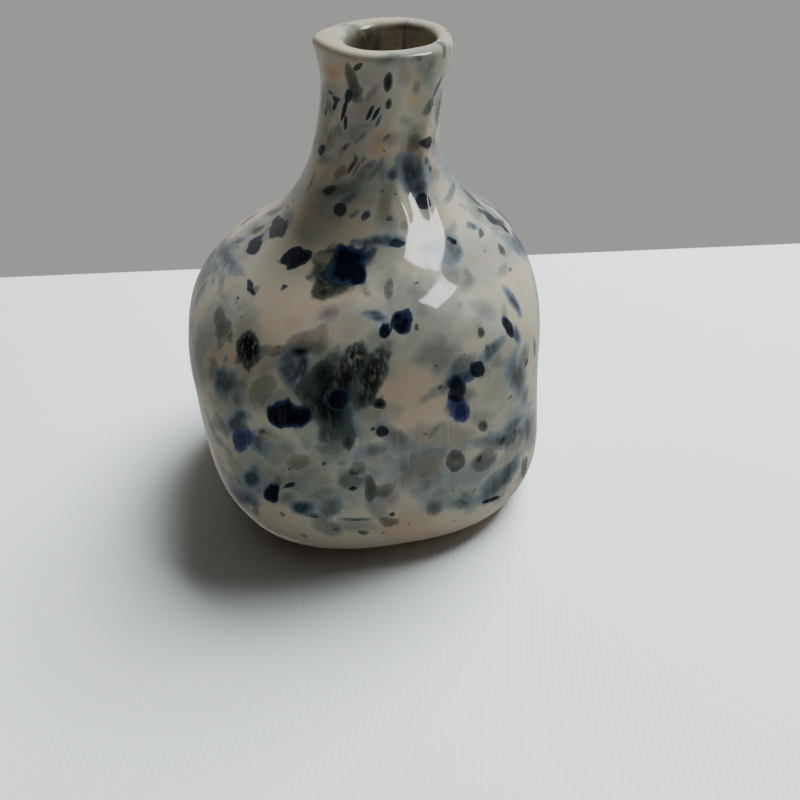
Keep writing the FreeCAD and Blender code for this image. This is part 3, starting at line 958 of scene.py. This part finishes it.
@dataclass
class GlazedVase:
    """The two coats of glaze, drawn as smooth skins over the packed clay.

    Attributes:
        foot_line: The height of the outer coat's lower edge, in millimetres.
        foot_top: The height up to which the rings are closer, in millimetres.
        foot_rings: How many rings there are up to there.
        wall_rings: How many rings there are from there to the lip.
        bore_rings: How many rings run down the bore.
        floor_rays: How many rays fan out to the floor.
        wall_reach: How far outside the core line a wall's ray starts, in millimetres.
        lip_reach: The same for a ray of the lip's fan.
        core: The radius of the core line that the rays pass, in millimetres.
        lip_drop: How far under the highest point the lip's fan of rays stands, in millimetres.
        lip_tilt: How far the lip rises for each millimetre towards the back.
        lip_steps: How many rays the fan has.
        floor_fan: The height from which the bore's last rays fan out to the floor, in millimetres.
        thickness: How thick each skin's shell is, in millimetres.
    """

    foot_line: float = 3.0
    foot_top: float = 16.0
    foot_rings: int = 24
    wall_rings: int = 108
    bore_rings: int = 62
    floor_rays: int = 33
    wall_reach: float = 34.0
    lip_reach: float = 8.0
    core: float = 10.6
    lip_drop: float = 3.1
    lip_tilt: float = 0.055
    lip_steps: int = 28
    floor_fan: float = 22.0
    thickness: float = 0.25
    tree: ShrinkTree = field(default_factory=ShrinkTree)

    def guide(self) -> tuple[np.ndarray, np.ndarray, np.ndarray]:
        """Lay the rays that find the coats: up the wall, over the lip and down the bore to the floor.

        Every ray passes a core line, which runs up inside the wall, so that what is left of its
        length beyond that line changes smoothly from ring to ring.

        Returns:
            Each ray's start and direction, as rings by ROUND by 3, and the length to the core line
            by rings. All are in millimetres.
        """
        azimuth = 2.0 * math.pi * np.arange(ROUND) / ROUND
        out = np.stack([np.cos(azimuth), np.sin(azimuth), np.zeros(ROUND)], axis=-1)
        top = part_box("outer_glaze")[1].z / MM - self.lip_drop
        low = np.linspace(self.foot_line + 0.05, self.foot_top, self.foot_rings, endpoint=False)
        wall = np.linspace(self.foot_top, top, self.wall_rings)
        rays = [(self.core_line(height, out), out, self.wall_reach, -1.0) for height in (*low, *wall)]
        for turn in math.pi * np.arange(1, self.lip_steps) / self.lip_steps:
            away = out * math.cos(turn) + np.array([0.0, 0.0, math.sin(turn)])
            rays.append((self.core_line(top, out), away, self.lip_reach, -1.0))
        for height in np.linspace(top, self.floor_fan, self.bore_rings):
            rays.append((self.core_line(height, out), out, -self.core, 1.0))
        for turn in 0.5 * math.pi * np.arange(1, self.floor_rays + 1) / (self.floor_rays + 0.5):
            down = out * math.cos(turn) + np.array([0.0, 0.0, -math.sin(turn)])
            hub = np.array([0.0, 0.0, self.floor_fan])
            rays.append((down * self.core + hub, down, -self.core, 1.0))
        starts = np.array([core + away * reach for core, away, reach, _ in rays])
        aims = np.array([away * way for _, away, _, way in rays])
        return starts, aims, np.array([abs(reach) for _, _, reach, _ in rays])

    def core_line(self, height: float, out: np.ndarray) -> np.ndarray:
        """Return the ring of the core line at a height, which tilts with the lip."""
        x, y = middle_line(np.array(height))
        ring = out * self.core + np.array([float(x), float(y), height])
        tilt = self.lip_tilt * float(smooth(np.array((height - 68.0) / 32.0)))
        ring[:, 2] += tilt * self.core * out[:, 1]
        return ring

    def shrunk(self, outer: bpy.types.Object, liner: bpy.types.Object,
               material: bpy.types.Material) -> np.ndarray:
        """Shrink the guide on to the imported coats.

        Args:
            outer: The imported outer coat.
            liner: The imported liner.
            material: The finish.

        Returns:
            The skin's vertices as rings by ROUND by 3, in millimetres.
        """
        starts, aims, far = self.guide()
        rings = len(starts)
        mesh = bpy.data.meshes.new("guide")
        mesh.from_pydata((starts.reshape(-1, 3) * MM).tolist(), [], grid_faces(rings))
        aim = mesh.attributes.new("aim", "FLOAT_VECTOR", "POINT")
        aim.data.foreach_set("vector", aims.reshape(-1).astype(np.float32))
        length = mesh.attributes.new("far", "FLOAT", "POINT")
        length.data.foreach_set("value", (np.repeat(far, ROUND) * MM).astype(np.float32))
        points = self.tree.apply(put("guide", mesh), outer, liner, material)
        return points.reshape(rings, ROUND, 3) / MM

    def shell(
        self, name: str, points: np.ndarray, normals: np.ndarray, fields: dict[str, np.ndarray],
        material: bpy.types.Material, floor: bool,
    ) -> bpy.types.Object:
        """Close a part of the skin into a thin shell.

        Args:
            name: The piece's name.
            points: Its rings, in millimetres.
            normals: Their normals.
            fields: The decoration's fields over the same rings.
            material: The finish.
            floor: Whether the last ring is closed with a pole.

        Returns:
            The piece.
        """
        rings = len(points)
        under = points - normals * self.thickness
        vertices = np.concatenate([points.reshape(-1, 3), under.reshape(-1, 3)]) * MM
        count = rings * ROUND
        faces = grid_faces(rings)
        inner = [tuple(count + i for i in reversed(face)) for face in faces]
        last = (rings - 1) * ROUND
        pairs = [(j, (j + 1) % ROUND) for j in range(ROUND)]
        joins = [(j, count + j, count + k, k) for j, k in pairs]
        unit = np.concatenate([normals.reshape(-1, 3), -normals.reshape(-1, 3)])
        if floor:
            poles = np.array([points[-1].mean(axis=0), under[-1].mean(axis=0)]) * MM
            vertices = np.concatenate([vertices, poles])
            unit = np.concatenate([unit, [[0.0, 0.0, 1.0], [0.0, 0.0, -1.0]]])
            for j, k in pairs:
                joins.append((last + j, last + k, 2 * count))
                joins.append((count + last + k, count + last + j, 2 * count + 1))
        else:
            joins += [(last + j, last + k, count + last + k, count + last + j) for j, k in pairs]
        mesh = bpy.data.meshes.new(name)
        mesh.from_pydata(vertices.tolist(), [], faces + inner + joins)
        mesh.update()
        for key, values in fields.items():
            flat = np.concatenate([values.reshape(-1), values.reshape(-1)])
            flat = np.concatenate([flat, np.full(len(vertices) - len(flat), -1.0)])
            attribute = mesh.attributes.new(key, "FLOAT", "POINT")
            attribute.data.foreach_set("value", flat.astype(np.float32))
        mesh.polygons.foreach_set("use_smooth", [True] * len(mesh.polygons))
        mesh.normals_split_custom_set_from_vertices(unit.tolist())
        mesh.materials.append(material)
        return put(name, mesh)

    def build(self, nodes: dict[str, bpy.types.Object], gloss: bpy.types.Material,
              lining: bpy.types.Material) -> list[bpy.types.Object]:
        """Make both skins and dress them.

        Args:
            nodes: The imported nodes.
            gloss: The outer coat's finish.
            lining: The liner's finish.

        Returns:
            The outer skin and the liner's skin.
        """
        points = self.shrunk(nodes["outer_glaze"], nodes["liner_glaze"], gloss)
        x, y = middle_line(points[:, :, 2])
        azimuth, reach = polar(points, x, y)
        lift = sum(fold.lift(azimuth, points[:, :, 2], reach) for fold in FOLDS)
        outside_only = np.arange(len(points))[:, None] <= int(points[:, :, 2].mean(axis=1).argmax())
        points = points + surface_normals(points) * (lift * outside_only)[:, :, None]
        normals = surface_normals(points)
        azimuth, reach = polar(points, x, y)
        steps = np.linalg.norm(np.diff(points, axis=0), axis=2)
        place = np.concatenate([np.zeros((1, ROUND)), np.cumsum(steps, axis=0)])
        heights = points[:, :, 2].mean(axis=1)
        crest = int(heights.argmax())
        marks = WASHES + BELLY_FRONT + BELLY_LOW + BELLY_LEFT + BELLY_RIGHT + SHOULDER + NECK
        marks = marks + scattered(np.random.default_rng(SEED))
        up_to, after = slice(0, crest + 1), slice(crest, None)
        outside = decorate(
            marks, points[up_to], azimuth[up_to], place[up_to], heights[up_to], reach[up_to])
        inside = decorate(
            BORE_MARKS_AND_PAINTED_SHADE, points[after], azimuth[after], -place[after], heights[after], reach[after])
        outer = self.shell("glaze_coat", points[:crest + 1], normals[:crest + 1], outside, gloss, False)
        liner = self.shell("liner_coat", points[crest:], normals[crest:], inside, lining, True)
        return [outer, liner]


@dataclass
class Studio:
    """The card under the vase, the wall behind it, the soft light and the camera.

    Attributes:
        eye: The camera's place, in millimetres.
        pitch: How far it looks down, in degrees.
        roll: How far it is turned, in degrees.
        wall_back: How far behind the vase the card ends, in millimetres.
        card_turn: How far the card's back edge is turned, in degrees.
        card_reach: How far the card runs to the sides and the front, in metres.
        flag_place: Where the small black flag hangs, in millimetres.
        flag_facing: The way from the flag to the window.
        flag_half: Half the flag's width and height, in millimetres.
    """

    eye: tuple[float, float, float] = (7.9, -159.8, 135.5)
    pitch: float = 36.87
    roll: float = 1.88
    wall_back: float = 106.0
    card_turn: float = -1.2
    card_reach: float = 2.0
    flag_place: tuple[float, float, float] = (32.4, -34.2, 71.8)
    flag_facing: tuple[float, float, float] = (0.60, -0.23, 0.77)
    flag_half: tuple[float, float] = (9.1, 7.0)

    def camera(self) -> None:
        """Make the camera at the viewing angle."""
        data = bpy.data.cameras.new("camera")
        data.lens = 36.0
        data.sensor_width = 36.0
        data.clip_start = 0.001
        camera = put("camera", data)
        down = Matrix.Rotation(math.radians(90.0 - self.pitch), 4, "X")
        turned = Matrix.Rotation(math.radians(-self.roll), 4, "Z")
        camera.matrix_world = Matrix.Translation(Vector(self.eye) * MM) @ down @ turned
        bpy.context.scene.camera = camera

    def sheet(self, name: str, corners: list[Vector], finish: Card, unseen_by: tuple[str, ...]) -> None:
        """Stage one flat sheet.

        Args:
            name: Its name.
            corners: Its four corners, in metres.
            finish: Its finish.
            unseen_by: The kinds of ray that pass through it.
        """
        mesh = bpy.data.meshes.new(name)
        mesh.from_pydata(corners, [], [(0, 1, 2, 3)])
        mesh.materials.append(finish.build(name))
        sheet = put(name, mesh)
        for ray in unseen_by:
            setattr(sheet, "visible_" + ray, False)

    def floor(self) -> None:
        """Lay the card, which ends where the wall would begin. It lights the vase but isn't mirrored."""
        wide = self.card_reach
        back, skew = self.wall_back * MM, wide * math.sin(math.radians(self.card_turn))
        outline = ((-wide, -wide), (wide, -wide), (wide, back - skew), (-wide, back + skew))
        corners = [Vector((x, y, 0.0)) for x, y in outline]
        self.sheet("ribbed_white_card", corners, Card("DDE0DF", rib_mm=1.2, rib_turn=0.12), ("glossy",))

    def flag(self) -> None:
        """Hang a small black card, which only reflections see.

        It keeps the window's second, lower image off the belly.
        """
        middle = Vector(self.flag_place) * MM
        toward = Vector(self.flag_facing).normalized()
        side = toward.cross(Vector((0.0, 0.0, 1.0))).normalized()
        across, up = side * self.flag_half[0] * MM, side.cross(toward) * self.flag_half[1] * MM
        corners = [middle - across - up, middle + across - up, middle + across + up, middle - across + up]
        unseen_by = ("camera", "diffuse", "shadow", "transmission", "volume_scatter")
        self.sheet("flag_black", corners, Card("050505"), unseen_by)

    def lamp(self, name: str, place: tuple[float, float, float], size: tuple[float, float],
             watts: float, glossy: bool, diffuse: bool) -> None:
        """Hang one soft light.

        Args:
            name: Its name.
            place: Where it hangs, in metres.
            size: Its width and height, in metres.
            watts: Its power.
            glossy: Whether it is mirrored in the glaze.
            diffuse: Whether it lights what isn't glossy.
        """
        data = bpy.data.lights.new(name, "AREA")
        data.shape = "RECTANGLE"
        data.size, data.size_y = size
        data.energy = watts
        data.color = colour("F4FAFF")[:3]
        light = put(name, data)
        light.location = place
        facing = Vector((0.0, 0.0, 0.05)) - Vector(place)
        light.rotation_euler = facing.to_track_quat("-Z", "Y").to_euler()
        light.visible_glossy = glossy
        light.visible_diffuse = diffuse

    def world(self, wall: str, room: str, strength: float) -> None:
        """Surround the scene with a plain grey wall, and the darker room in front of it.

        The camera always sees the wall's colour. Light and reflections also have the room's.

        Args:
            wall: Its colour behind the vase.
            room: Its colour in front of the vase.
            strength: Its brightness.
        """
        world = bpy.data.worlds.new("room")
        world.use_nodes = True
        nodes = Nodes(world.node_tree)
        way = nodes.add("ShaderNodeTexCoord").outputs["Generated"]
        parts = nodes.add("ShaderNodeSeparateXYZ", Vector=way)
        seen = nodes.add("ShaderNodeLightPath").outputs["Is Camera Ray"]
        share = nodes.maths("MAXIMUM", nodes.spanned(parts.outputs["Y"], 0.0, 0.7), seen)
        tone = nodes.mixed(share, colour(room), colour(wall))
        glow = nodes.add("ShaderNodeBackground", Color=tone, Strength=strength)
        nodes.add("ShaderNodeOutputWorld", Surface=glow.outputs["Background"])
        bpy.context.scene.world = world

    def build(self) -> None:
        """Set the stage."""
        self.camera()
        self.floor()
        self.flag()
        self.world("A0A09E", "2E2723", 1.0)
        self.lamp("window", (0.39, -0.17, 0.53), (0.21, 0.36), 6.5, glossy=True, diffuse=False)
        self.lamp("sky", (0.40, 0.40, 0.84), (0.62, 0.62), 34.0, glossy=False, diffuse=True)
        LOG.info("stage set")


def main() -> None:
    """Build the vase's glaze, dress the clay and set the stage."""
    logging.basicConfig(level=logging.INFO, format="%(message)s")
    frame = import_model()
    gloss = SplashedGloss().build("splashed_stain_under_clear_gloss")
    bisque = Bisque().build("buff_stoneware_bisque")
    for name, node in frame["nodes"].items():
        node.data.materials.clear()
        node.data.materials.append(gloss if name in ("outer_glaze", "liner_glaze") else bisque)
        LOG.info("%s dressed", name)
    outer, liner = GlazedVase().build(frame["nodes"], gloss, gloss)
    for piece, node, slot in (
        (outer, "outer_glaze", "splashed_gloss_glaze"), (liner, "liner_glaze", "liner_gloss_glaze"),
    ):
        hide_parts(node)
        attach(piece, "root")
        LOG.info("%s: %d faces", piece.name, len(piece.data.polygons))
    Studio().build()


if __name__ == "__main__":
    main()
